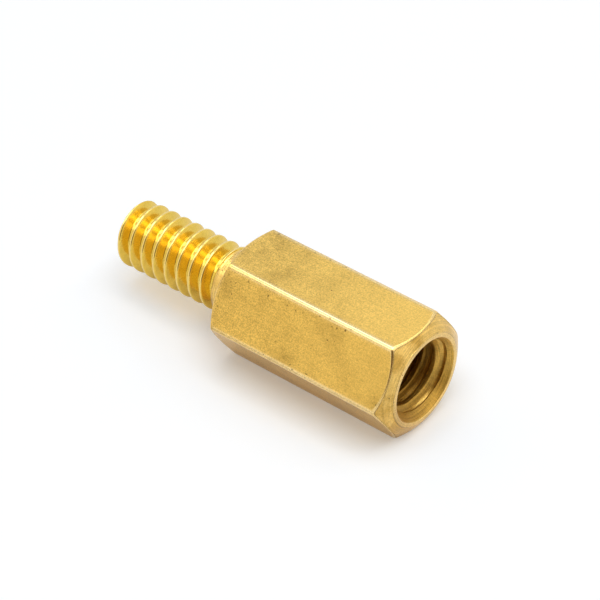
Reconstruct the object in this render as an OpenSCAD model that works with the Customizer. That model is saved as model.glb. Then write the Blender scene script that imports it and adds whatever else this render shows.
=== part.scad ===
// Male-female hex standoff, turned from brass hex bar. Sizes in millimetres.
// The origin is on the axis, in the plane of the shoulder that the stud
// leaves. +X runs to the tapped end, -X to the stud's tip. The part lies on
// one flat of its hex, which faces -Z.

/* [Body] */
// Width of the hex bar across its flats
hex_af = 4.76; // [3.5:0.01:12]
// Length from the shoulder to the face of the tapped end
body_len = 8.95; // [5:0.05:60]
// Radius of the bar's rounded long edges
edge_r = 0.22; // [0.1:0.01:0.5]

/* [Ends of the body] */
// Radius of the flat ring that is left on the tapped end's face
ring_r = 1.98; // [1.9:0.01:2.3]
// Radius of the turned dome that takes the corners off the tapped end
dome_r = 4.15; // [3.2:0.05:8]
// Radius of the flat that is left on the shoulder
shoulder_r = 2.26; // [1.8:0.01:2.35]
// Angle of the shoulder's chamfer, from the shoulder's own plane
shoulder_angle = 32; // [15:1:45]

/* [Threads] */
// Distance from one turn of either thread to the next
pitch = 0.635; // [0.3:0.005:1]
// Full angle between the two flanks of a thread
flank_angle = 60; // [55:1:60]

/* [Stud] */
// Diameter over the crests of the thread
stud_d = 2.88; // [1.6:0.01:3.4]
// Length from the shoulder to the tip
stud_len = 6.2; // [3:0.05:20]
// Width of the flat along each crest
crest_w = 0.1; // [0.04:0.01:0.2]
// Depth of the thread, from its crests to its root
thread_depth = 0.36; // [0.2:0.01:0.5]
// Step from the crests down to the plain land at each end of the thread
land_step = 0.07; // [0.05:0.01:0.14]
// Length of the plain land next to the shoulder
land_len = 0.86; // [0.3:0.02:2]
// Width of the plain land at the tip
tip_ring = 0.14; // [0.08:0.02:0.6]
// Width of the 45 degree chamfer round the tip
tip_chamfer = 0.17; // [0.05:0.01:0.4]
// Radius of the tool's corner between the stud and the shoulder
corner_fillet = 0.1; // [0.08:0.01:0.3]
// Where a crest passes over the top of the stud
crest_x = -3.438; // [-6:0.01:0]

/* [Tapped hole] */
// Diameter of the drilled hole, over the crests of its thread
bore_d = 2.84; // [1.6:0.01:3.2]
// Depth of the full-width hole, from the face of the tapped end
bore_depth = 7; // [3:0.1:50]
// Full angle of the cone that the drill leaves at the bottom
drill_angle = 118; // [90:1:140]
// Depth of the thread, out from its crests to its root
tap_depth = 0.25; // [0.06:0.01:0.4]
// Width of the flat along the thread's root
tap_root_w = 0.12; // [0.04:0.01:0.2]
// Depth to which the hole is tapped, from the face
tapped_len = 6; // [2:0.1:48]
// Where the thread's root passes over the top of the hole
groove_x = 8.126; // [7:0.01:9]
// Diameter of the countersink at the face
sink_d = 3.66; // [2.8:0.01:3.9]
// Full angle of the countersink
sink_angle = 66; // [60:1:120]

/* [Hidden] */
// A circle with this many sides is a true round, and six is the hexagon
round_fn = 96;
hex_sides = 6;
hex_turn = 360 / hex_sides;
// Steps in one turn of a thread, the turns over which it fades out, and the
// turns that the stud's runs on over the land
thread_steps = 30;
fade_turns = 0.3;
run_on_turns = 0.25;
// A thread's bar is drawn from this far behind the surface that it rises
// from, so that the two cross
sunk = 0.05;
// Angle of each step round the corner between the stud and the shoulder
fillet_step = 15;
// What a cutter reaches past the face that it cuts
over = 0.5;
// What the rounding of a corner stands proud of the flats, so that the two
// cross rather than only touch
proud = 0.0005;
brass = [0.8, 0.64, 0.34];

// Distance from the axis to a sharp corner of the bar, and to the line that
// the rounding of a corner is drawn about
corner_r = hex_af / 2 / cos(hex_turn / 2);
round_at = corner_r - edge_r / cos(hex_turn / 2);
// Radius of the round blank that the end cutters work in
blank_r = corner_r + over;
// Where the shoulder's chamfer runs out to the blank
shoulder_end = (blank_r - shoulder_r) * tan(shoulder_angle);
// The point that the dome is drawn about
dome_x = body_len - sqrt(dome_r * dome_r - ring_r * ring_r);
// How far a flank leans along X for each millimetre of its height
lean = tan(flank_angle / 2);
// Radii of the stud's crests, lands and thread root
crest_r = stud_d / 2;
land_r = crest_r - land_step;
root_r = crest_r - thread_depth;
// Where the plain lands end, and how far their flanks reach to the root
land_x = -land_len;
ring_x = tip_chamfer + tip_ring - stud_len;
flank_len = (land_r - root_r) * lean;
// Where the stud stops inside the body, to be one with it
joined_x = over;
// Radius of the hole, over its crests
bore_r = bore_d / 2;
// Ends of the hole's straight wall, and the tip of its drill point
wall_start = body_len - bore_depth;
wall_end = body_len - (sink_d / 2 - bore_r) / tan(sink_angle / 2);
drill_x = wall_start - bore_r / tan(drill_angle / 2);

// Turns a profile of [radius, distance along X] points about the X axis
module turned(profile) {
    rotate([0, 90, 0]) rotate_extrude($fn = round_fn) polygon(profile);
}

// A right-hand helical bar about the X axis. Its section is the thread's
// own: wide at base_r and narrowing by the flank angle to tip_w at tip_r.
// It passes over the top of the axis at top_x, and its height fades at the
// ends that are asked for.
module helix(from_x, to_x, top_x, base_r, tip_r, tip_w, fades) {
    steps = round((to_x - from_x) / pitch * thread_steps);
    fade = fade_turns * thread_steps;
    half_tip = tip_w / 2;
    half_base = half_tip + (tip_r - base_r) * lean;
    points = [for (i = [0:steps])
        let (x = from_x + i * (to_x - from_x) / steps,
            turn = 90 + (x - top_x) / pitch * 360,
            rise = min(1, fades[0] ? (i + 1) / fade : 1,
                fades[1] ? (steps - i + 1) / fade : 1),
            out = base_r + rise * (tip_r - base_r))
        for (p = [[-half_base, base_r], [-half_tip, out],
                [half_tip, out], [half_base, base_r]])
            [x + p[0], p[1] * cos(turn), p[1] * sin(turn)]];
    sides = 4;
    faces = [
        for (i = [0:steps - 1], j = [0:sides - 1])
            let (a = i * sides + j, b = i * sides + (j + 1) % sides)
            for (f = [[a, b, a + sides], [b, b + sides, a + sides]]) f,
        [3, 2, 1, 0],
        [for (j = [0:sides - 1]) steps * sides + j]];
    polyhedron(points, faces);
}

// The bar's section: the flats and, at each corner, the rounding
module bar_section() {
    polygon([for (k = [1:hex_sides], side = [-0.5, 0.5])
        let (mid = (k + 0.5) * hex_turn, face = mid + side * hex_turn)
        round_at * [cos(mid), sin(mid)] + edge_r * [cos(face), sin(face)]]);
    for (k = [1:hex_sides])
        rotate((k + 0.5) * hex_turn) translate([round_at, 0])
            circle(r = edge_r + proud, $fn = round_fn);
}

// What the lathe takes off the tapped end's corners: all that lies outside
// the dome
module dome_cut() {
    difference() {
        turned([[0, dome_x], [blank_r, dome_x],
            [blank_r, body_len + over], [0, body_len + over]]);
        translate([dome_x, 0, 0]) rotate([0, 90, 0]) sphere(r = dome_r, $fn = round_fn);
    }
}

module body() {
    difference() {
        intersection() {
            rotate([0, 90, 0]) linear_extrude(height = body_len) bar_section();
            turned([[0, 0], [shoulder_r, 0], [blank_r, shoulder_end],
                [blank_r, body_len + over], [0, body_len + over]]);
        }
        dome_cut();
    }
}

// The stud: its two plain lands, the root between them, and the thread
module stud() {
    fillet_centre = [land_r + corner_fillet, -corner_fillet];
    turned(concat(
        [[0, -stud_len], [land_r - tip_chamfer, -stud_len],
            [land_r, tip_chamfer - stud_len], [land_r, ring_x],
            [root_r, ring_x + flank_len], [root_r, land_x - flank_len],
            [land_r, land_x]],
        [for (a = [180:-fillet_step:90])
            fillet_centre + corner_fillet * [cos(a), sin(a)]],
        [[fillet_centre[0], joined_x], [0, joined_x]]));
    helix(ring_x + flank_len, land_x + run_on_turns * pitch, crest_x,
        root_r - sunk, crest_r, crest_w, [true, true]);
}

// The drilled and countersunk hole
module hole() {
    turned([[0, drill_x], [bore_r, wall_start], [bore_r, wall_end],
        [sink_d / 2 + over * tan(sink_angle / 2), body_len + over],
        [0, body_len + over]]);
}

// What the tap cuts out of the hole's wall. It starts in the countersink.
module tap_groove() {
    helix(body_len - tapped_len, body_len, groove_x,
        bore_r - sunk, bore_r + tap_depth, tap_root_w, [true, false]);
}

module standoff() {
    color(brass) difference() {
        union() {
            body();
            stud();
        }
        hole();
        tap_groove();
    }
}

standoff();
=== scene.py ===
# %% [markdown]
# # A brass hex standoff
#
# The part is a short piece of hexagonal brass bar with a threaded stud at one
# end and a tapped hole at the other. It is one solid, so the looks are one
# mesh too: a skin that starts at the stud's tip, runs over the thread, the
# shoulder, the six flats and the domed end, and turns into the hole. The part
# could also be joined from a hexagon, a screw and a drilled hole with booleans,
# but those leave ragged edges where the lathe's curves meet the flats. A single
# skin has clean edges all over, and each can be rounded by its own amount.
#
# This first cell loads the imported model. It is the fixed frame: it gives the
# places and the sizes, and the mesh that is built here takes over its looks.

import bpy
import numpy as np
from mathutils import Matrix, Vector


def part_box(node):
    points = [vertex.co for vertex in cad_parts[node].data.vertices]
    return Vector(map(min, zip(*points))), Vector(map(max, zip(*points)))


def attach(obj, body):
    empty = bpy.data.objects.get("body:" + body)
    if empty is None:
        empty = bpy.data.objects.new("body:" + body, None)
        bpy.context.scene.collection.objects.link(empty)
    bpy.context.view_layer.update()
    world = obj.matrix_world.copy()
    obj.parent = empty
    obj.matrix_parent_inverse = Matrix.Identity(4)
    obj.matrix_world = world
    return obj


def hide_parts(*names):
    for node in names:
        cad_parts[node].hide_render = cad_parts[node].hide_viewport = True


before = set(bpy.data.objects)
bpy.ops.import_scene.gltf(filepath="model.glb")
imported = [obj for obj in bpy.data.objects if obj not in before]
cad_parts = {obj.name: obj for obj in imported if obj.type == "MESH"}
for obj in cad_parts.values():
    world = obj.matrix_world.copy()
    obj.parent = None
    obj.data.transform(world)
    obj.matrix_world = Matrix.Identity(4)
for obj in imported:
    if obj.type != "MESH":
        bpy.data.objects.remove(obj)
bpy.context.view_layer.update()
low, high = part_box("standoff")
print("CAD box in mm:", [round(v * 1000, 3) for v in (*low, *high)])

# %% [markdown]
# ## Sizes
#
# Blender works in metres here, and so does the frame. The outer sizes are read
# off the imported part. What the box can't tell, such as the pitch of the thread
# or the dome's radius, is a named value in millimetres times MM, and is the
# size that the maker's drawing would give.

# %% Sizes of the bar and its ends
MM = 0.001
stud_len = -low.x
body_len = high.x
half_af = -low.z
flat_angle = 60.0
edge_r = 0.22 * MM
ring_r = 1.98 * MM
dome_r = 4.15 * MM
shoulder_r = 2.26 * MM
shoulder_angle = 32
shoulder_slope = np.tan(np.radians(shoulder_angle))
print(f"body {body_len / MM:.2f} mm, stud {stud_len / MM:.2f} mm")
print(f"flats {2 * half_af / MM:.2f} mm apart")

# %% Sizes of the thread
pitch = 0.635 * MM
flank_angle = 60
lean = np.tan(np.radians(flank_angle / 2))
crest_r = 1.44 * MM
crest_w = 0.08 * MM
thread_depth = 0.36 * MM
land_r = crest_r - 0.07 * MM
root_r = crest_r - thread_depth
land_len = 0.86 * MM
tip_r = crest_r - 0.24 * MM
crest_x = -3.438 * MM
print(f"thread: {stud_len / pitch:.1f} pitches long, {thread_depth / MM:.2f} mm deep")

# %% [markdown]
# ## The columns of the mesh
#
# The skin is a grid. Its columns run the length of the part, one for each angle
# about the X axis, and its rows run round it. Even columns would waste faces on
# the flats and be coarse on the rounded edges, so each flat gets a few wide
# columns, closer together near its edges, and each edge gets narrow ones.

# %% Angles of the columns
FLAT_COLUMNS = 12
EDGE_COLUMNS = 10
corner_angle = flat_angle / 2
round_at = (half_af - edge_r) / np.cos(np.radians(corner_angle))
flat_half = np.degrees(np.arctan((half_af - edge_r) * np.tan(np.radians(corner_angle)) / half_af))
edge_half = corner_angle - flat_half
closer = (1 - np.cos(np.linspace(0, np.pi, FLAT_COLUMNS, endpoint=False))) / 2
sector = np.concatenate([
    np.linspace(-edge_half, edge_half, EDGE_COLUMNS, endpoint=False),
    edge_half + closer * (flat_angle - 2 * edge_half)])
angles = np.concatenate([sector + flat_angle * k for k in range(6)])
turn = np.radians(angles)
print(f"{len(angles)} columns; each rounded edge takes {2 * edge_half:.1f} degrees")


# %% Radius of the bar at each angle
FLAT_RUB = 0.15
RUB_REACH = 0.09 * MM


def bar_radius(degrees):
    """Distance from the axis to the rounded hexagon."""
    from_corner = (degrees + corner_angle) % flat_angle - corner_angle
    from_flat = corner_angle - np.abs(from_corner)
    along = round_at * np.cos(np.radians(from_corner))
    across = round_at * np.sin(np.radians(from_corner))
    on_edge = along + np.sqrt(np.maximum(edge_r**2 - across**2, 0))
    on_flat = half_af / np.cos(np.radians(from_flat))
    return np.where(np.abs(from_corner) < edge_half, on_edge, on_flat)


def past_edge(degrees):
    """How far a point of the bar's section lies past the nearest rounded edge, on the flat."""
    from_corner = np.abs((degrees + corner_angle) % flat_angle - corner_angle)
    return bar_radius(degrees) * np.sin(np.radians(np.maximum(from_corner - edge_half, 0)))


def edge_rub(degrees):
    """How worn the bar is: 1 on the rounded edges, and a little next to them."""
    past = past_edge(degrees)
    return np.where(past > 0, FLAT_RUB * np.exp(-(past / RUB_REACH) ** 2), 1)


bar_r = bar_radius(angles)
edge_wear = edge_rub(angles)
print(f"bar radius {bar_r.min() / MM:.3f} to {bar_r.max() / MM:.3f} mm")

# %% [markdown]
# ## The rows of the mesh
#
# A row is two arrays: how far along X and how far from the axis each of its
# points lies, one value for each column. A turned surface has the same values
# all round. The hexagon's rows follow the bar's radius, which is what makes the
# curved lines where the lathe has cut into the corners.
#
# Real edges are never perfectly sharp, and the thin bright line that a worn
# edge shows needs real geometry, so corners are eased by a short curve.

# %% The first row, close round the middle of the stud's tip
DRAWN, TURNED, CUT, TAPPED = range(4)
CENTRE_R = 0.05 * MM
rows = []


def add_row(x, r, finish, wear_and_highlight=0.0):
    """Adds one row. Finish is what the faces that lead up to it are made of."""
    x, r, wear_and_highlight = (np.broadcast_to(v, turn.shape) for v in (x, r, wear_and_highlight))
    rows.append((x, r, finish, wear_and_highlight))


add_row(-stud_len, CENTRE_R, TURNED)
print(f"first row at x = {rows[0][0][0] / MM:.2f} mm")


# %% Straight and eased runs of rows
def run_to(end, count, finish, wear_and_highlight=0.0):
    """Adds evenly spaced rows on a straight line from the last row to end."""
    x0, r0 = rows[-1][:2]
    for t in np.linspace(0, 1, count + 1)[1:]:
        add_row(x0 + t * (end[0] - x0), r0 + t * (end[1] - r0), finish, wear_and_highlight)


def run_eased(corner, end, ease, finish, count=3, steps=5, wear_and_highlight=0.6):
    """Runs straight towards corner and bends towards end on a short, worn curve."""
    corner = np.array([np.broadcast_to(v, turn.shape) for v in corner])
    before = np.array(rows[-1][:2])
    after = np.array([np.broadcast_to(v, turn.shape) for v in end])
    back, ahead = before - corner, after - corner
    start = corner + back * ease / np.hypot(*back)
    stop = corner + ahead * ease / np.hypot(*ahead)
    run_to(start, count, finish, rows[-1][3])
    for t in np.linspace(0, 1, steps + 1)[1:]:
        point = (1 - t) ** 2 * start + 2 * t * (1 - t) * corner + t * t * stop
        add_row(*point, finish, wear_and_highlight)


# %% [markdown]
# ## The stud's thread
#
# The stud is turned round, and then a pointed tool moves along it by one pitch
# for each turn. Blender's Screw modifier could wind such a ridge, but it would
# still have to be joined to the land and to the tip's chamfer. Here one formula
# gives the whole stud. For a point at a given X and angle, the distance to the
# nearest ridge gives its radius at once. The ridge has a small flat on top,
# flanks at 60 degrees, and a rounded root, because the tool's nose is rounded.

# %% Distance to the nearest turn, and rounded corners
def past_ridge(x, top_x):
    """How far x lies past the nearest turn of the thread that passes the top at top_x."""
    turns = (x - top_x) / pitch - (np.degrees(turn) - 90) / 360
    return (turns - np.round(turns)) * pitch


def smooth_max(a, b, width):
    """The larger of a and b, with the corner between them rounded off."""
    near = np.clip(1 - np.abs(a - b) / width, 0, 1)
    return np.maximum(a, b) + width * near**2 / 4


def smooth_min(a, b, width):
    """The smaller of a and b, rounded off in the same way."""
    return -smooth_max(-a, -b, width)


# %% Radius of the stud at any point
sharp_ease = 0.015 * MM
worn_ease = 0.05 * MM
root_ease = 0.03 * MM
rim_ease = 0.02 * MM
run_on = 0.25 * pitch
fade_len = 0.3 * pitch
land_x = -land_len
root_x = land_x - (land_r - root_r) * lean
all_round = np.ones_like(turn)


def stud_radius(x):
    """Distance from the axis to the stud's surface at x, in every column."""
    x = x * all_round
    past = past_ridge(x, crest_x)
    ridge = crest_r - (np.abs(past) - crest_w / 2) / lean
    ridge = smooth_min(ridge, crest_r, np.where(past > 0, worn_ease, sharp_ease))
    ridge = ridge - np.clip(1 - (land_x + run_on - x) / fade_len, 0, 1) * thread_depth
    core = np.clip(root_r + (x - root_x) / lean, root_r, land_r)
    return smooth_min(smooth_max(core, ridge, root_ease), tip_r + x + stud_len, rim_ease)


halfway = stud_radius(-stud_len / 2) / MM
print(f"halfway along, the stud's radius is {halfway.min():.2f} to {halfway.max():.2f} mm")

# %% Rows of the stud
THREAD_ROWS = 290
crest_rub = 0.02 * MM
rim_x = rim_ease - stud_len
tip_rim = (-stud_len, stud_radius(-stud_len))
run_eased(tip_rim, (rim_x, stud_radius(rim_x)), rim_ease, TURNED)
for x in np.linspace(rim_x, -land_len, THREAD_ROWS + 1)[1:]:
    r = stud_radius(x)
    add_row(x, r, CUT, np.clip((r - crest_r) / crest_rub + 1, 0, 1))
print(f"stud: {len(rows)} rows")

# %% [markdown]
# ## Shoulder, flats and domed end
#
# The lathe faces the shoulder to a flat ring, and takes the hexagon's corners
# off behind it with a straight cone. At the other end it takes them off with a
# rounder tool, which leaves a dome. A bevel of the hexagon's end wouldn't look
# like that, because a cone or a dome meets each flat in a curve. The curve
# comes by itself when every column runs on until its own radius meets the cone
# or the dome. The dome's edge is softer and more worn near the hexagon's
# corners, which stand out the most.

# %% Rows of the shoulder
corner_fillet = 0.10 * MM
EASE = 0.03 * MM
FILLET_ROWS = 6
run_to((-corner_fillet, land_r), FILLET_ROWS, TURNED)
for a in np.radians(np.linspace(180, 90, FILLET_ROWS + 1)[1:]):
    fillet_x = corner_fillet * (np.sin(a) - 1)
    add_row(fillet_x, land_r + corner_fillet * (1 + np.cos(a)), TURNED)
cone_end = (bar_r - shoulder_r) * shoulder_slope
run_eased((0, shoulder_r), (cone_end, bar_r), EASE, TURNED)
print(f"shoulder cone is {cone_end.min() / MM:.2f} to {cone_end.max() / MM:.2f} mm long")

# %% The dome, and how worn its edge is
DOME_FIRST = 0.08
CORNER_REACH = 0.4 * MM
DOME_EASE, CORNER_EASE = 0.045 * MM, 0.05 * MM
DOME_RUB, CORNER_RUB = 0.4, 0.4
dome_x = body_len - np.sqrt(dome_r**2 - ring_r**2)
dome_start = dome_x + np.sqrt(dome_r**2 - bar_r**2)
near_corner = np.exp(-(past_edge(angles) / CORNER_REACH) ** 2)
dome_ease = DOME_EASE + CORNER_EASE * near_corner
dome_len = (body_len - dome_start) / MM


def dome_point(share):
    """The dome at a share of the way in from the bar's surface to the ring."""
    radius = bar_r + share * (ring_r - bar_r)
    return dome_x + np.sqrt(dome_r**2 - radius**2), radius


print(f"dome is {dome_len.min():.2f} to {dome_len.max():.2f} mm long")

# %% Rows of the flats and the dome
SLIGHT_WEAR = 0.3
FLAT_ROWS, DOME_ROWS = 50, 12
sink_r = 1.83 * MM
run_eased((cone_end, bar_r), (dome_start, bar_r), EASE, TURNED, wear_and_highlight=SLIGHT_WEAR)
run_to((dome_start - 2 * dome_ease, bar_r), FLAT_ROWS, DRAWN, edge_wear)
run_eased((dome_start, bar_r), dome_point(DOME_FIRST), dome_ease, DRAWN, 1,
          wear_and_highlight=DOME_RUB + CORNER_RUB * near_corner)
for share in np.linspace(DOME_FIRST, 1, DOME_ROWS + 1)[:-1]:
    add_row(*dome_point(share), TURNED)
run_eased((body_len, ring_r), (body_len, sink_r), 2 * EASE, TURNED, 1, wear_and_highlight=SLIGHT_WEAR)
print(f"{len(rows)} rows so far")

# %% [markdown]
# ## The tapped hole
#
# The hole is drilled, countersunk and tapped. It could be cut out with a
# boolean, but the skin can just turn inwards at the end and go on. The tap's
# groove uses the same formula as the stud's thread, and cuts outwards. It starts
# in the countersink, so its first turn leaves a crescent there. The groove's
# root leans outwards a little along its lower arc. In that first turn, along
# that arc, the root is polished and painted paler, as a painted highlight.

# %% Sizes of the hole
bore_r = 1.42 * MM
bore_depth = 7.0 * MM
tap_depth = 0.25 * MM
tapped_len = 6.0 * MM
tap_root_w = 0.13 * MM
groove_x = 8.126 * MM
sink_angle, drill_angle = 66, 118
sink_slope = np.tan(np.radians(sink_angle / 2))
drill_slope = 1 / np.tan(np.radians(drill_angle / 2))
print(f"hole {2 * bore_r / MM:.2f} mm wide, {bore_depth / MM:.1f} mm deep")

# %% Radius of the hole at any point
tap_ease = 0.03 * MM
tap_root_ease = 0.02 * MM
tap_root_tilt = 0.5
LOWER_ARC_AT, LOWER_ARC_SPREAD = 280, 22
lower_arc = np.exp(-(((angles - LOWER_ARC_AT + 180) % 360 - 180) / LOWER_ARC_SPREAD) ** 2)
half_root = tap_root_w / 2


def hole_radius(x):
    """Distance from the axis to the hole's wall at x, in every column."""
    wall = np.maximum(sink_r - (body_len - x) * sink_slope, bore_r)
    past = past_ridge(x, groove_x)
    lift = np.clip(past, -half_root, half_root) * tap_root_tilt * lower_arc
    flanks = bore_r + tap_depth - (np.abs(past) - half_root) / lean
    groove = smooth_min(flanks, bore_r + tap_depth + lift, tap_root_ease)
    groove = groove - np.clip((body_len - tapped_len + pitch - x) / pitch, 0, 1) * tap_depth
    return smooth_max(wall, groove, tap_ease)


inside = hole_radius(body_len - tapped_len / 2) / MM
print(f"halfway down, the hole's radius is {inside.min():.2f} to {inside.max():.2f} mm")

# %% Rows of the hole
ROOT_POLISH_AND_HIGHLIGHT = 0.45
FIRST_TURN_X = 8.05 * MM
MOUTH_DEPTH = 1.6 * MM
HOLE_RUNS = ((MOUTH_DEPTH, 95), (tapped_len, 80), (bore_depth, 6))
DRILL_ROWS = 5
sink_end = body_len - (sink_r - bore_r) / sink_slope
run_eased((body_len, sink_r), (sink_end, bore_r), EASE, TURNED, 2, wear_and_highlight=SLIGHT_WEAR)
last_x = rows[-1][0].max()
for depth, count in HOLE_RUNS:
    for x in np.linspace(last_x, body_len - depth, count + 1)[1:]:
        # In the first turn, along the lower arc, the root is polished and painted paler: a
        # painted highlight.
        in_root = (x > FIRST_TURN_X) * (np.abs(past_ridge(x, groove_x)) < half_root)
        add_row(x, hole_radius(x), TAPPED, ROOT_POLISH_AND_HIGHLIGHT * lower_arc * in_root)
    last_x = body_len - depth
drill_end = body_len - bore_depth - (bore_r - CENTRE_R) * drill_slope
run_to((drill_end, CENTRE_R), DRILL_ROWS, TAPPED)
print(f"{len(rows)} rows in all")

# %% [markdown]
# ## The mesh
#
# Rows and columns become one closed grid. Each end closes with a fan round one
# point on the axis. How worn each point is goes along as an attribute, which
# the materials can read. In the hole's first turn it carries a painted highlight.

# %% Points of the mesh
grid = np.array([[x, r * np.cos(turn), r * np.sin(turn)] for x, r, *_ in rows]).transpose(0, 2, 1)
drill_tip = body_len - bore_depth - bore_r * drill_slope
points = np.concatenate([grid.reshape(-1, 3), [[-stud_len, 0, 0], [drill_tip, 0, 0]]])
wear_and_highlight_values = np.concatenate([*(row[3] for row in rows), [0.0, 0.0]])
print(f"{len(points)} points")

# %% Faces of the mesh
columns = len(turn)
faces, finishes = [], []
for i in range(len(rows) - 1):
    for j in range(columns):
        a, b = i * columns + j, i * columns + (j + 1) % columns
        faces.append((a, a + columns, b + columns, b))
        finishes.append(rows[i + 1][2])
tip, bottom = len(points) - 2, len(points) - 1
last = (len(rows) - 1) * columns
for j in range(columns):
    k = (j + 1) % columns
    faces.append((tip, j, k))
    finishes.append(TURNED)
    faces.append((bottom, last + k, last + j))
    finishes.append(TAPPED)
print(f"{len(faces)} faces")

# %% Build the mesh
mesh = bpy.data.meshes.new("brass_standoff")
mesh.from_pydata(points.tolist(), [], faces)
mesh.polygons.foreach_set("material_index", finishes)
mesh.polygons.foreach_set("use_smooth", [True] * len(faces))
mesh.attributes.new("wear_and_highlight", "FLOAT", "POINT").data.foreach_set("value", wear_and_highlight_values)
mesh.validate()
standoff = bpy.data.objects.new("brass_standoff", mesh)
bpy.context.scene.collection.objects.link(standoff)
print("standoff in mm:", [round(v / MM, 2) for v in standoff.dimensions])

# %% [markdown]
# ## Shading normals
#
# The flats of a drawn bar are truly flat, right up to the small rounding of its
# edges. Smooth shading alone makes them look swollen, because it averages the
# normals of the faces on both sides of an edge. The edges could be marked as
# sharp, but then the rounding would break up. Weighted normals follow the
# larger faces, so the flats stay flat and only the eased edges turn.

# %% Weighted normals
weighted = standoff.modifiers.new("flats stay flat", "WEIGHTED_NORMAL")
weighted.keep_sharp = True
weighted.weight = 80
print("modifiers:", [m.name for m in standoff.modifiers])

# %% [markdown]
# ## Nodes in short
#
# Materials in Blender are trees of nodes. They can be laid out by hand in the
# editor, but a few small helpers make them short to write and easy to change.
# One adds a node and feeds its inputs with values or with other nodes' outputs.
# One starts a node group, which is an effect with named inputs and outputs that
# several materials share. Two do the sums that come up again and again.

# %% Helpers for nodes and groups
def put(tree, kind, feed, **settings):
    """Adds a node. Feed gives its inputs, each a value or another node's output."""
    node = tree.nodes.new(kind)
    for name, value in settings.items():
        setattr(node, name, value)
    for name, value in feed.items():
        if isinstance(value, bpy.types.NodeSocket):
            tree.links.new(value, node.inputs[name])
        else:
            node.inputs[name].default_value = value
    return node


def new_group(name, takes, gives):
    """Starts a node group and returns its tree, its input node's outputs and its end node."""
    tree = bpy.data.node_groups.new(name, "ShaderNodeTree")
    for side, labels in (("INPUT", takes), ("OUTPUT", gives)):
        for label, kind in labels.items():
            tree.interface.new_socket(label, in_out=side, socket_type="NodeSocket" + kind)
    return tree, tree.nodes.new("NodeGroupInput").outputs, tree.nodes.new("NodeGroupOutput")


# %% Helpers for sums
def maths(tree, operation, a, b):
    """One sum with two numbers."""
    return put(tree, "ShaderNodeMath", {0: a, 1: b}, operation=operation).outputs[0]


def ramp(tree, value, from_min, from_max, to_min, to_max):
    """Maps a number from one range to another and keeps it inside."""
    feed = {"Value": value, "From Min": from_min, "From Max": from_max,
            "To Min": to_min, "To Max": to_max}
    return put(tree, "ShaderNodeMapRange", feed).outputs[0]


# %% [markdown]
# ## Mottle
#
# The bar was drawn through a die, which leaves a fine mottle, and air and
# fingers have turned it brown in wide, soft patches. A picture of such a
# surface would need a flat layout and would show seams. Noise needs neither.
# This group and those that follow take a place in millimetres, so the sizes of
# their marks are real.

# %% Fine specks and wide clouds
NOISE_LOW, NOISE_HIGH = 0.3, 0.7


def grain(tree, place, scale, detail, rough):
    """Noise that fills the range from 0 to 1."""
    feed = {"Vector": place, "Scale": scale, "Detail": detail, "Roughness": rough}
    noise = put(tree, "ShaderNodeTexNoise", feed)
    return ramp(tree, noise.outputs[0], NOISE_LOW, NOISE_HIGH, 0, 1)


mottle, takes, ends = new_group(
    "mottle", {"Place": "Vector", "Speck size": "Float", "Cloud size": "Float"},
    {"Specks": "Float", "Clouds": "Float"})
for size, detail, label in (("Speck size", 2, "Specks"), ("Cloud size", 5, "Clouds")):
    finer = maths(mottle, "DIVIDE", 1.0, takes[size])
    noise = grain(mottle, takes["Place"], finer, detail, rough=0.7)
    mottle.links.new(noise, ends.inputs[label])
print(f"{mottle.name}: {len(mottle.nodes)} nodes")

# %% [markdown]
# ## Rings and chatter
#
# A lathe tool leaves fine rings about the axis. Where it shudders, it leaves
# chatter marks that stand across them. A wave texture could draw rings, but
# they would all be alike. Noise that changes fast along the axis or the radius,
# and slowly round the part, is as uneven as real ones. For chatter it is the
# other way round.

# %% Sums with vectors
def vectors(tree, operation, a, b):
    """One sum with two vectors."""
    return put(tree, "ShaderNodeVectorMath", {0: a, 1: b}, operation=operation).outputs[0]


def scaled(tree, vector, factor):
    """A vector, or a colour, times a number."""
    feed = {0: vector, "Scale": factor}
    return put(tree, "ShaderNodeVectorMath", feed, operation="SCALE").outputs[0]


# %% Rings and chatter marks that a lathe tool leaves
CHATTER_MARKS = 26.0
SLANT = 1.7
tool_rings, takes, ends = new_group(
    "tool rings", {"Place": "Vector", "Spacing": "Float"}, {"Rings": "Float", "Chatter": "Float"})
place, spacing = takes["Place"], takes["Spacing"]
apart = put(tool_rings, "ShaderNodeSeparateXYZ", {0: place}).outputs
across = put(tool_rings, "ShaderNodeCombineXYZ", {1: apart[1], 2: apart[2]}).outputs[0]
radius = put(tool_rings, "ShaderNodeVectorMath", {0: across}, operation="LENGTH").outputs["Value"]
slant = maths(tool_rings, "ADD", apart[1], maths(tool_rings, "MULTIPLY", apart[2], SLANT))
ring_place = put(tool_rings, "ShaderNodeCombineXYZ", {
    0: maths(tool_rings, "DIVIDE", apart[0], spacing),
    1: maths(tool_rings, "DIVIDE", radius, spacing),
    2: maths(tool_rings, "DIVIDE", slant, radius)}).outputs[0]
radii = put(tool_rings, "ShaderNodeCombineXYZ", {0: radius, 1: radius, 2: radius}).outputs[0]
way_out = scaled(tool_rings, vectors(tool_rings, "DIVIDE", across, radii), CHATTER_MARKS)
chatter_place = vectors(tool_rings, "ADD", way_out, place)
for label, marked in (("Rings", ring_place), ("Chatter", chatter_place)):
    noise = grain(tool_rings, marked, scale=1.0, detail=2, rough=0.5)
    tool_rings.links.new(noise, ends.inputs[label])
print(f"{tool_rings.name}: {len(tool_rings.nodes)} nodes")

# %% [markdown]
# ## Pits, nicks and smudges
#
# Damp leaves small dark pits that nobody has placed. Knocks and fingers leave
# nicks and smudges in places of their own. Both could be painted on, but that
# needs a picture again. A Voronoi texture parts space into cells, and a dot in
# the middle of some of them is a pit. A mark is all that lies within some
# distance of its centre.

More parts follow.
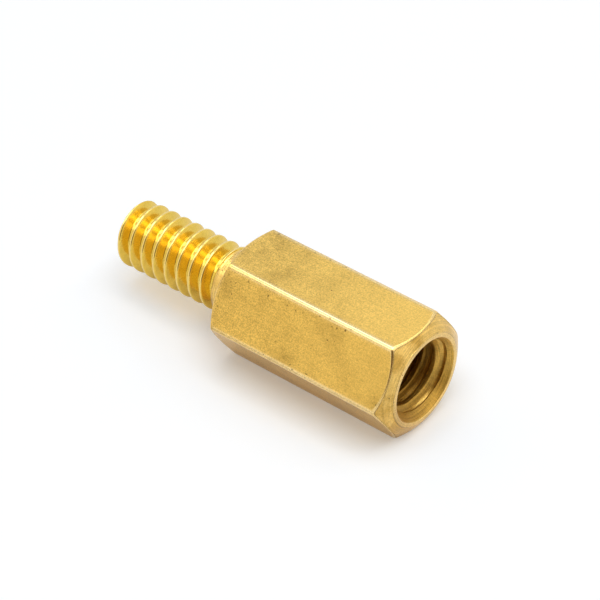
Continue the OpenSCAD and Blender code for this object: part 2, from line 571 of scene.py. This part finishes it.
# %% Small dark pits
PIT_CORE, PIT_RIM = 0.12, 0.26
pitting, takes, ends = new_group(
    "pits", {"Place": "Vector", "Spacing": "Float", "Share": "Float"}, {"Pits": "Float"})
finer = maths(pitting, "DIVIDE", 1.0, takes["Spacing"])
cells = put(pitting, "ShaderNodeTexVoronoi", {"Vector": takes["Place"], "Scale": finer}).outputs
near = ramp(pitting, cells["Distance"], PIT_CORE, PIT_RIM, 1, 0)
red = put(pitting, "ShaderNodeSeparateColor", {0: cells["Color"]}).outputs[0]
chosen = maths(pitting, "LESS_THAN", red, takes["Share"])
pitting.links.new(maths(pitting, "MULTIPLY", near, chosen), ends.inputs["Pits"])
print(f"{pitting.name}: {len(pitting.nodes)} nodes")

# %% A round mark at a chosen place
MARK_CORE = 0.3
mark, takes, ends = new_group(
    "mark", {"Place": "Vector", "Centre": "Vector", "Size": "Float"}, {"Mark": "Float"})
feed = {0: takes["Place"], 1: takes["Centre"]}
gap = put(mark, "ShaderNodeVectorMath", feed, operation="DISTANCE").outputs["Value"]
share = maths(mark, "DIVIDE", gap, takes["Size"])
mark.links.new(ramp(mark, share, MARK_CORE, 1, 1, 0), ends.inputs["Mark"])
print(f"{mark.name}: {len(mark.nodes)} nodes")


# %% Putting groups to use
def use(tree, group, feed):
    """Puts a group into a tree and returns its outputs."""
    return put(tree, "ShaderNodeGroup", feed, node_tree=group).outputs


def marks(tree, place, spots):
    """1 in the middle of the spots and 0 outside. A spot is its centre's x, y, z and its size."""
    found = 0.0
    for *centre, size in spots:
        one = use(tree, mark, {"Place": place, "Centre": centre, "Size": size})["Mark"]
        found = maths(tree, "MAXIMUM", found, one)
    return found


# %% [markdown]
# ## Brass with all of that laid over it
#
# The layers lie on brass in the order in which they came: the clean metal,
# the tarnish, the wear that rubs it off again, the specks that lighten and darken
# it, and the pits. On the dome and in the hole the tarnish layer also holds
# painted shade, and in the hole's first turn the wear layer holds a painted
# highlight. Each layer could be a shader of its own, mixed over the one before.
# Mixing plain colours and roughness keeps one shader in each material, and that
# renders faster.

# %% The brass finish
PIT_COLOUR = (0.14, 0.08, 0.02, 1)
PIT_ROUGHNESS = 0.2


def blend(tree, factor, a, b):
    """Goes from colour a to colour b as the factor goes from 0 to 1."""
    feed = {"Factor": factor, 6: a, 7: b}
    return put(tree, "ShaderNodeMix", feed, data_type="RGBA").outputs[2]


# Tarnish also carries painted shade on the dome and in the hole, and Wear a painted highlight in
# the hole's first turn.
finish, takes, ends = new_group(
    "brass finish",
    {"Clean": "Color", "Tarnished and shaded": "Color", "Worn and highlight": "Color", "Tarnish and shade": "Float",
     "Specks": "Float", "Speck strength": "Float", "Pits": "Float", "Wear and highlight": "Float",
     "Satin": "Float", "Polish": "Float"},
    {"Colour": "Color", "Roughness": "Float"})
colour = blend(finish, takes["Tarnish and shade"], takes["Clean"], takes["Tarnished and shaded"])
colour = blend(finish, takes["Wear and highlight"], colour, takes["Worn and highlight"])
swing = maths(finish, "SUBTRACT", takes["Specks"], 0.5)
swing = maths(finish, "MULTIPLY", swing, takes["Speck strength"])
colour = scaled(finish, colour, maths(finish, "ADD", 1.0, swing))
colour = blend(finish, takes["Pits"], colour, PIT_COLOUR)
finish.links.new(colour, ends.inputs["Colour"])
span = maths(finish, "SUBTRACT", takes["Polish"], takes["Satin"])
rough = maths(finish, "ADD", takes["Satin"], maths(finish, "MULTIPLY", takes["Wear and highlight"], span))
rough = maths(finish, "ADD", rough, maths(finish, "MULTIPLY", takes["Pits"], PIT_ROUGHNESS))
finish.links.new(rough, ends.inputs["Roughness"])
print("groups:", [g.name for g in bpy.data.node_groups])

# %% [markdown]
# ## The four finishes
#
# Every finish starts the same way: the place on the part in millimetres, and
# how worn the edge is there, which the mesh carries as an attribute along with
# the hole's painted highlight. A thin clear coat stands for the film of oil and
# oxide on handled brass. It is what turns the brightest reflections white.
#
# A finish has three colours of brass: clean, tarnished and worn. In the hole,
# the tarnished colour is that of painted shade and the worn one that of a
# painted highlight. Satin is its roughness where it isn't worn, and Polish where
# it is. The four could be one material with a mask for each place, but four
# plain ones are easier to read, and the mesh knows anyway which faces were
# drawn, turned, cut or tapped.

# %% What every finish starts and ends with
COAT_ROUGHNESS = 0.15


def new_brass(name, coat):
    """Adds a metal and returns its tree, its shader, the place in mm, and the wear with the
    hole's painted highlight.
    """
    material = bpy.data.materials.new(name)
    material.use_nodes = True
    mesh.materials.append(material)
    tree = material.node_tree
    shader = tree.nodes["Principled BSDF"]
    shader.inputs["Metallic"].default_value = 1
    shader.inputs["Coat Weight"].default_value = coat
    shader.inputs["Coat Roughness"].default_value = COAT_ROUGHNESS
    where = put(tree, "ShaderNodeTexCoord", {}).outputs["Object"]
    wear_and_highlight = put(tree, "ShaderNodeAttribute", {}, attribute_name="wear_and_highlight").outputs["Fac"]
    return tree, shader, scaled(tree, where, 1 / MM), wear_and_highlight


def lay(tree, shader, looks, height, depth):
    """Feeds the shader the finish, and bumps that are depth metres high."""
    laid = use(tree, finish, looks)
    bump = put(tree, "ShaderNodeBump", {"Height": height, "Distance": depth, "Strength": 1.0})
    tree.links.new(laid["Colour"], shader.inputs["Base Color"])
    tree.links.new(laid["Roughness"], shader.inputs["Roughness"])
    tree.links.new(bump.outputs[0], shader.inputs["Normal"])


# %% [markdown]
# ## Drawn brass
#
# The six flats are the bar's own skin. They have the die's mottle, drawn out
# into faint lines along the bar, and most of the tarnish, with pits in it. They
# are cleaner toward the tapped end, and nicked near the upper front edge. Pits
# are random here and nicks are placed, because a handful of marks in the right
# spots makes a part look like itself.

# %% Marks on the drawn brass, in mm: x, y, z and size
DARK_NICKS = (
    (1.42, -1.49, 2.18, 0.06), (0.62, -1.67, 1.87, 0.05), (0.85, -1.64, 1.92, 0.06),
    (0.42, -1.54, 2.09, 0.07), (5.63, -1.54, 2.10, 0.07), (5.84, -1.51, 2.14, 0.08),
    (6.22, -1.47, 2.21, 0.07), (6.46, -1.40, 2.34, 0.05), (5.42, -1.39, 2.35, 0.06),
    (4.97, -1.45, 2.25, 0.06), (2.45, -1.58, 2.03, 0.05), (3.41, -1.58, 2.03, 0.05),
    (3.87, -1.59, 2.01, 0.05), (4.20, -1.56, 2.07, 0.05), (3.37, -2.35, 0.68, 0.05),
    (5.14, -2.64, 0.19, 0.07), (3.06, -2.70, 0.08, 0.06), (3.30, 1.23, 2.38, 0.06),
    (4.07, 1.28, 2.38, 0.06), (0.66, 1.26, 2.38, 0.07))
SMUDGES = (
    (0.6, -1.75, 1.75, 0.9), (5.7, -1.60, 2.00, 0.8), (4.0, -2.60, 0.30, 0.5),
    (8.5, -2.60, 0.25, 0.6), (1.2, 1.10, 2.38, 1.1), (0.2, -0.6, 2.38, 0.7),
    (1.6, 0.0, 2.5, 1.8))
CLEAN_PATCH = ((7.6, 0.3, 2.7, 3.2),)
# A thin dark line along the edge between the two front flats.
FRONT_EDGE_LINE = ((0, -2.716, 0.03, 0.04),)
print(f"{len(DARK_NICKS)} nicks and {len(SMUDGES)} smudges")

# %% Drawn brass: grain and tarnish
ALONG_DIE = (0.12, 1, 1)
PLAIN_TARNISH, SMUDGE_AND_SHADE_TARNISH, PATCH_TARNISH = 0.75, 1.4, 0.35


def sum_of(tree, *parts):
    """Adds up some numbers, each of them times its share."""
    total = 0.0
    for value, share in parts:
        total = maths(tree, "ADD", total, maths(tree, "MULTIPLY", value, share))
    return total


tree, shader, place, wear_and_highlight = new_brass("drawn brass", coat=0.12)
fine = use(tree, mottle, {"Place": place, "Speck size": 0.055, "Cloud size": 1.3})
drawn_out = vectors(tree, "MULTIPLY", place, ALONG_DIE)
lines = use(tree, mottle, {"Place": drawn_out, "Speck size": 0.05, "Cloud size": 0.6})
specks = sum_of(tree, (fine["Specks"], 0.78), (lines["Specks"], 0.22))
smudged_and_shaded = ramp(tree, marks(tree, place, SMUDGES), 0, 1, PLAIN_TARNISH, SMUDGE_AND_SHADE_TARNISH)
cleaned = ramp(tree, marks(tree, place, CLEAN_PATCH), 0, 1, 1, PATCH_TARNISH)
tarnish = maths(tree, "MULTIPLY", maths(tree, "MULTIPLY", fine["Clouds"], smudged_and_shaded), cleaned)
print("grain and tarnish:", len(tree.nodes), "nodes")

# %% Drawn brass: pits, nicks and one dark line along the front edge
PITS_FROM, PIT_SHARE, PIT_SPACING = 0.35, 0.16, 0.16
RAGGED = 0.16
NICK_RIM, NICK_CORE = 0.2, 0.9
NICK_STRENGTH, LINE_STRENGTH = 0.85, 0.35
in_tarnish = ramp(tree, tarnish, PITS_FROM, 1, 0, PIT_SHARE)
feed = {"Place": place, "Spacing": PIT_SPACING, "Share": in_tarnish}
pits = use(tree, pitting, feed)["Pits"]
feed = {"Vector": place, "Scale": 9.0, "Detail": 2}
shift = put(tree, "ShaderNodeTexNoise", feed).outputs["Color"]
shift = scaled(tree, vectors(tree, "SUBTRACT", shift, (0.5, 0.5, 0.5)), RAGGED)
moved = vectors(tree, "ADD", place, shift)
nicks = ramp(tree, marks(tree, moved, DARK_NICKS), NICK_RIM, NICK_CORE, 0, NICK_STRENGTH)
section = vectors(tree, "MULTIPLY", moved, (0, 1, 1))
front_edge_line = maths(tree, "MULTIPLY", marks(tree, section, FRONT_EDGE_LINE), LINE_STRENGTH)
nicked = maths(tree, "MAXIMUM", maths(tree, "MAXIMUM", pits, nicks), front_edge_line)
print("with the pits and nicks:", len(tree.nodes), "nodes")

# %% Drawn brass: wear, and all of it laid on
STREAK_LOW, STREAK_HIGH, STREAK_RUB = 0.1, 0.6, 0.7
SHOULDER_RUB, RUB_FROM, RUB_TO = 0.55, 0.5, 5.0
SHOULDER_SPECKS, TAPPED_END_SPECKS = 0.98, 0.45
SHOULDER_X, TAPPED_END_X = 0, 9
along_axis = put(tree, "ShaderNodeSeparateXYZ", {0: place}).outputs[0]
streaks = ramp(tree, lines["Clouds"], STREAK_LOW, STREAK_HIGH, STREAK_RUB, 1)
handled = ramp(tree, along_axis, RUB_FROM, RUB_TO, SHOULDER_RUB, 1)
rubbed = maths(tree, "MULTIPLY", maths(tree, "MULTIPLY", wear_and_highlight, streaks), handled)
strength = ramp(
    tree, along_axis, SHOULDER_X, TAPPED_END_X, SHOULDER_SPECKS, TAPPED_END_SPECKS)
bumps = maths(tree, "MULTIPLY", specks, maths(tree, "SUBTRACT", 1.0, wear_and_highlight))
lay(tree, shader, {
    "Clean": (0.83, 0.52, 0.11, 1), "Tarnished and shaded": (0.58, 0.355, 0.07, 1),
    "Worn and highlight": (0.90, 0.65, 0.28, 1), "Tarnish and shade": tarnish, "Pits": nicked, "Wear and highlight": rubbed,
    "Specks": specks, "Speck strength": strength,
    "Satin": 0.3, "Polish": 0.06}, height=bumps, depth=0.003 * MM)
print("in all:", len(tree.nodes), "nodes")

# %% [markdown]
# ## Turned brass
#
# The shoulder, the dome and the countersink are fresh cuts through that skin.
# They are brighter and yellower, with the lathe's rings on them. The dome is
# painted darker where it faces forward and down, as painted shade, with a few
# smudges higher up. It has the same layers as the drawn brass, with rings in the
# place of the die's lines.

# %% Turned brass, on the two ends
# The three marks on the dome's front and lower side are painted shade; the two high up are
# smudges.
DOME_SMUDGES_AND_SHADE = (
    (8.7, -1.55, 1.95, 0.5), (8.7, -2.45, 0.3, 0.8), (8.8, -2.0, -0.9, 1.1),
    (8.8, -0.4, 2.3, 0.5), (8.4, -1.9, -1.5, 1.5))
PLAIN_TARNISH, SMUDGE_AND_SHADE_TARNISH = 0.7, 2.2
tree, shader, place, wear_and_highlight = new_brass("turned brass", coat=0.08)
fine = use(tree, mottle, {"Place": place, "Speck size": 0.07, "Cloud size": 0.7})
rings = use(tree, tool_rings, {"Place": place, "Spacing": 0.05})["Rings"]
pits = use(tree, pitting, {"Place": place, "Spacing": 0.14, "Share": 0.05})["Pits"]
specks = sum_of(tree, (fine["Specks"], 0.45), (rings, 0.55))
# Smudges and painted shade darken the dome.
smudged_and_shaded = marks(tree, place, DOME_SMUDGES_AND_SHADE)
smudged_and_shaded = ramp(tree, smudged_and_shaded, 0, 1, PLAIN_TARNISH, SMUDGE_AND_SHADE_TARNISH)
lay(tree, shader, {
    "Clean": (0.90, 0.59, 0.17, 1), "Tarnished and shaded": (0.60, 0.355, 0.075, 1),
    "Worn and highlight": (0.92, 0.66, 0.30, 1), "Tarnish and shade": maths(tree, "MULTIPLY", fine["Clouds"], smudged_and_shaded),
    "Pits": pits, "Wear and highlight": wear_and_highlight, "Specks": specks, "Speck strength": 0.7,
    "Satin": 0.28, "Polish": 0.16}, height=specks, depth=0.006 * MM)
print(f"turned brass: {len(tree.nodes)} nodes")

# %% [markdown]
# ## Cut thread
#
# Nuts have run over the stud's thread and rubbed it smooth, so it is the
# glossiest part, and nearly all that it shows is the room. Its grain is only
# just there. A perfectly even metal would look like plastic. The thicker coat
# gives the white sparkle on the crests.

# %% The stud's thread, cut and rubbed smooth
tree, shader, place, wear_and_highlight = new_brass("cut thread", coat=0.25)
fine = use(tree, mottle, {"Place": place, "Speck size": 0.09, "Cloud size": 0.5})
lay(tree, shader, {
    "Clean": (0.855, 0.59, 0.10, 1), "Tarnished and shaded": (0.76, 0.505, 0.065, 1),
    "Worn and highlight": (0.90, 0.655, 0.20, 1), "Tarnish and shade": fine["Clouds"], "Pits": 0.0, "Wear and highlight": wear_and_highlight,
    "Specks": fine["Specks"], "Speck strength": 0.13,
    "Satin": 0.19, "Polish": 0.12}, height=fine["Specks"], depth=0.0009 * MM)
print(f"cut thread: {len(tree.nodes)} nodes")

# %% [markdown]
# ## Tapped hole
#
# A tap tears the brass a little, so the hole is the roughest part, with strong
# bumps and chatter marks. Deep inside and along its lower side it is painted
# darker, as painted shade. A noise would put that anywhere, so here it follows
# the place: how far in and how low down.

# %% The tapped hole, with painted shade deep in it and low down
FULL_SHADE_X, NO_SHADE_X = 7.7, 8.35
LOW_Z, HIGH_Z, LOW_SHADE = -1.7, 1.2, 0.75
tree, shader, place, wear_and_highlight = new_brass("tapped hole", coat=0.1)
fine = use(tree, mottle, {"Place": place, "Speck size": 0.06, "Cloud size": 0.4})
lathe = use(tree, tool_rings, {"Place": place, "Spacing": 0.04})
specks = sum_of(tree, (fine["Specks"], 0.35), (lathe["Rings"], 0.45), (lathe["Chatter"], 0.2))
apart = put(tree, "ShaderNodeSeparateXYZ", {0: place}).outputs
# Painted shade: the wall is darker deeper in the hole and towards its lower side, in the darkened
# colour below.
painted_deep_shade = ramp(tree, apart[0], FULL_SHADE_X, NO_SHADE_X, 1, 0)
painted_low_shade = ramp(tree, apart[2], LOW_Z, HIGH_Z, LOW_SHADE, 0)
bumps = maths(tree, "MULTIPLY", specks, maths(tree, "SUBTRACT", 1.0, wear_and_highlight))
lay(tree, shader, {
    "Clean": (0.76, 0.48, 0.10, 1), "Tarnished and shaded": (0.34, 0.175, 0.024, 1),
    "Worn and highlight": (0.88, 0.62, 0.16, 1), "Tarnish and shade": maths(tree, "MAXIMUM", painted_deep_shade, painted_low_shade),
    "Pits": 0.0, "Wear and highlight": wear_and_highlight, "Specks": specks, "Speck strength": 1.1,
    "Satin": 0.42, "Polish": 0.14}, height=bumps, depth=0.018 * MM)
print("finishes:", [m.name for m in mesh.materials])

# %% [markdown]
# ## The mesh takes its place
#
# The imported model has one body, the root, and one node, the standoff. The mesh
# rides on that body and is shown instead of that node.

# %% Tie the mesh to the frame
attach(standoff, "root")
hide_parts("standoff")
print(f"{standoff.name} rides on root and stands in for the node standoff")

# %% [markdown]
# ## Floor
#
# The part lies on a sheet of pale paper. It could float in front of plain white,
# but its soft shadow and the paper's reflection in the lower flats show that it
# lies on something. A little glow lifts the paper to the white of the backdrop,
# and the brass sees half of that glow. Along the bar the paper has painted warm
# shade, and painted gold light, as brass throws it, lies under the stud. Both
# are ovals, because a path tracer needs very long to find such light.

# %% Floor
REACH = 3.0
corners = [(x, y, low.z) for x, y in (
    (-REACH, -REACH), (REACH, -REACH), (REACH, REACH), (-REACH, REACH))]
floor_mesh = bpy.data.meshes.new("floor")
floor_mesh.from_pydata(corners, [], [(0, 1, 2, 3)])
floor = bpy.data.objects.new("floor", floor_mesh)
bpy.context.scene.collection.objects.link(floor)
print(f"floor at z = {low.z / MM:.2f} mm")

# %% Paper
# The second colour is painted warm shade, laid on the paper along the bar.
PAPER, PAINTED_WARM_SHADE = (0.86, 0.89, 0.93, 1), (0.82, 0.80, 0.775, 1)
WARM_SHADE_PATCH, WARM_SHADE_SQUEEZE = ((3.5, -1.0, 2.9),), (0.45, 1)
GLOW, GLOW_ON_BRASS = 0.16, 0.5
# Painted gold light, as the brass throws it on the paper under the stud.
PAINTED_GOLD_SPOTS, GOLD_LIGHT_SQUEEZE = ((-5.3, -0.2, 1.8), (-4.3, -0.2, 1.8), (-3.3, -0.3, 1.8)), (1, 1.6)
GOLD_LIGHT_COLOUR, NO_GOLD_LIGHT = (0.15, 0.105, 0.045, 1), (0, 0, 0, 1)
paper = bpy.data.materials.new("white paper")
paper.use_nodes = True
floor_mesh.materials.append(paper)
tree = paper.node_tree
shader = tree.nodes["Principled BSDF"]
shader.inputs["Roughness"].default_value = 0.9
where = put(tree, "ShaderNodeTexCoord", {}).outputs["Object"]


def painted(spots, squeeze):
    """Ovals, squeezed in x and y. A spot is its centre's x and y in mm, and its size."""
    scale = (squeeze[0] / MM, squeeze[1] / MM, 0)
    place = put(tree, "ShaderNodeMapping", {"Vector": where, "Scale": scale}).outputs[0]
    return marks(tree, place, [(squeeze[0] * x, squeeze[1] * y, 0, size) for x, y, size in spots])


# Along the bar the paper takes the painted warm shade.
paper_and_warm_shade = blend(tree, painted(WARM_SHADE_PATCH, WARM_SHADE_SQUEEZE), PAPER, PAINTED_WARM_SHADE)
# The painted gold light glows for the camera only.
painted_gold_light = blend(tree, painted(PAINTED_GOLD_SPOTS, GOLD_LIGHT_SQUEEZE), NO_GOLD_LIGHT, GOLD_LIGHT_COLOUR)
path = put(tree, "ShaderNodeLightPath", {}).outputs
on_brass = maths(tree, "MULTIPLY", path["Is Glossy Ray"], GLOW_ON_BRASS)
share = maths(tree, "ADD", path["Is Camera Ray"], on_brass)
glow = put(tree, "ShaderNodeEmission", {"Strength": maths(tree, "MULTIPLY", share, GLOW)})
both = put(tree, "ShaderNodeAddShader", {0: shader.outputs[0], 1: glow.outputs[0]})
tree.links.new(paper_and_warm_shade, shader.inputs["Base Color"])
tree.links.new(painted_gold_light, shader.inputs["Emission Color"])
tree.links.new(path["Is Camera Ray"], shader.inputs["Emission Strength"])
tree.links.new(both.outputs[0], tree.nodes["Material Output"].inputs["Surface"])
print(f"paper: {len(tree.nodes)} nodes")

# %% [markdown]
# ## The room
#
# Polished metal shows its surroundings, so the room is drawn for the metal's
# sake: a bright, slightly blue wall behind, a warmer one in front, and the dark
# side where the camera stands. The camera itself sees plain white, and the
# floor gets an even, weaker light, so that the part casts a soft shadow. A
# picture of a real room would do as well, but wide patches with soft borders
# can be moved one at a time until the metal looks right.

# %% World
BACK_WALL = (0.90, 0.97, 1.14, 1)
FRONT_WALL = (1.00, 0.99, 0.95, 1)
DARK = (0.18, 0.13, 0.08, 1)
BACK_WAY, DARK_WAY = (-0.5, 0.56, 0.66), (0.5, -0.75, 0.43)
FILL = (0.54, 0.54, 0.54, 1)
WHITE = (1, 1, 1, 1)
world = bpy.data.worlds.new("studio")
bpy.context.scene.world = world
world.use_nodes = True
tree = world.node_tree
way = put(tree, "ShaderNodeTexCoord", {}).outputs["Generated"]


def facing(centre, outer, inner):
    """1 for directions within the inner angle of the centre, fading to 0 at the outer one."""
    feed = {0: way, 1: Vector(centre).normalized()}
    dot = put(tree, "ShaderNodeVectorMath", feed, operation="DOT_PRODUCT").outputs["Value"]
    outer, inner = (np.cos(np.radians(angle)) for angle in (outer, inner))
    feed = {"Value": dot, "From Min": outer, "From Max": inner}
    return put(tree, "ShaderNodeMapRange", feed, interpolation_type="SMOOTHSTEP").outputs[0]


walls = blend(tree, facing(BACK_WAY, outer=75, inner=15), FRONT_WALL, BACK_WALL)
walls = blend(tree, facing(DARK_WAY, outer=38, inner=18), walls, DARK)
path = put(tree, "ShaderNodeLightPath", {}).outputs
fill = blend(tree, path["Is Glossy Ray"], FILL, walls)
seen = blend(tree, path["Is Camera Ray"], fill, WHITE)
tree.links.new(seen, tree.nodes["Background"].inputs["Color"])
print(f"world: {len(tree.nodes)} nodes")

# %% [markdown]
# ## Lamps
#
# Soft lamps hang high over the part. The overhead one is the brightest: it
# lights the flats and gives the soft shadow. The right strip shines into the
# tapped hole. The near strip draws the white line along the upper edge and the
# sparkle on the thread, and the far one a golden line just below it. The back
# strip draws the bright line along the dome's edge. These last three are seen
# only in the brass and don't light the paper, so that it has one soft shadow.
# Round lamps would leave round spots, and a straight edge wants a straight one.
# A lamp is given by the radiance that a reflection of it shows.

# %% Lamps
LAMP_HEIGHT = 0.4


def strip(name, x, y, width, depth, radiance, on_floor=True):
    """A flat lamp that shines straight down. Places and sizes are in shares of its height."""
    lamp = bpy.data.lights.new(name, "AREA")
    lamp.shape = "RECTANGLE"
    lamp.size, lamp.size_y = width * LAMP_HEIGHT, depth * LAMP_HEIGHT
    lamp.energy = radiance * lamp.size * lamp.size_y * np.pi
    item = bpy.data.objects.new(name, lamp)
    item.location = (x * LAMP_HEIGHT, y * LAMP_HEIGHT, LAMP_HEIGHT)
    item.visible_diffuse = on_floor
    bpy.context.scene.collection.objects.link(item)
    print(f"{name}: {lamp.size:.2f} x {lamp.size_y:.2f} m, {lamp.energy:.3f} W")


strip("near strip", x=-0.575, y=0.116, width=0.55, depth=0.30, radiance=2.2, on_floor=False)
strip("right strip", x=0.55, y=0.5, width=0.3, depth=2.0, radiance=1.2)
strip("overhead", x=0.15, y=-0.1, width=0.8, depth=0.7, radiance=2.5)
strip("back strip", x=-0.13, y=0.66, width=0.45, depth=0.4, radiance=1.9, on_floor=False)
strip("far strip", x=-0.68, y=-0.617, width=0.8, depth=0.505, radiance=1.2, on_floor=False)

# %% [markdown]
# ## Camera
#
# The camera stands in front, to the right and above, and looks down at the
# part through a long lens, which keeps the long edges nearly parallel. It could
# be aimed with a constraint. Here its place and its right and up directions are
# written out, so that it always looks the same way.

# %% Camera
camera_data = bpy.data.cameras.new("camera")
camera_data.sensor_width = 36
camera_data.lens = 156.5
camera_data.clip_start = 0.005
camera = bpy.data.objects.new("camera", camera_data)
eye = Vector((54.17, -57.77, 68.91)) * MM
right = Vector((0.7706, 0.6358, -0.0431))
up = Vector((-0.3958, 0.5306, 0.7496))
back = right.cross(up).normalized()
right = up.cross(back).normalized()
up = back.cross(right)
camera.matrix_world = Matrix.Translation(eye) @ Matrix((right, up, back)).transposed().to_4x4()
bpy.context.scene.collection.objects.link(camera)
bpy.context.scene.camera = camera
bpy.context.scene.view_settings.view_transform = "Standard"
bpy.context.view_layer.update()
print("camera", [round(v, 4) for v in camera.matrix_world.translation])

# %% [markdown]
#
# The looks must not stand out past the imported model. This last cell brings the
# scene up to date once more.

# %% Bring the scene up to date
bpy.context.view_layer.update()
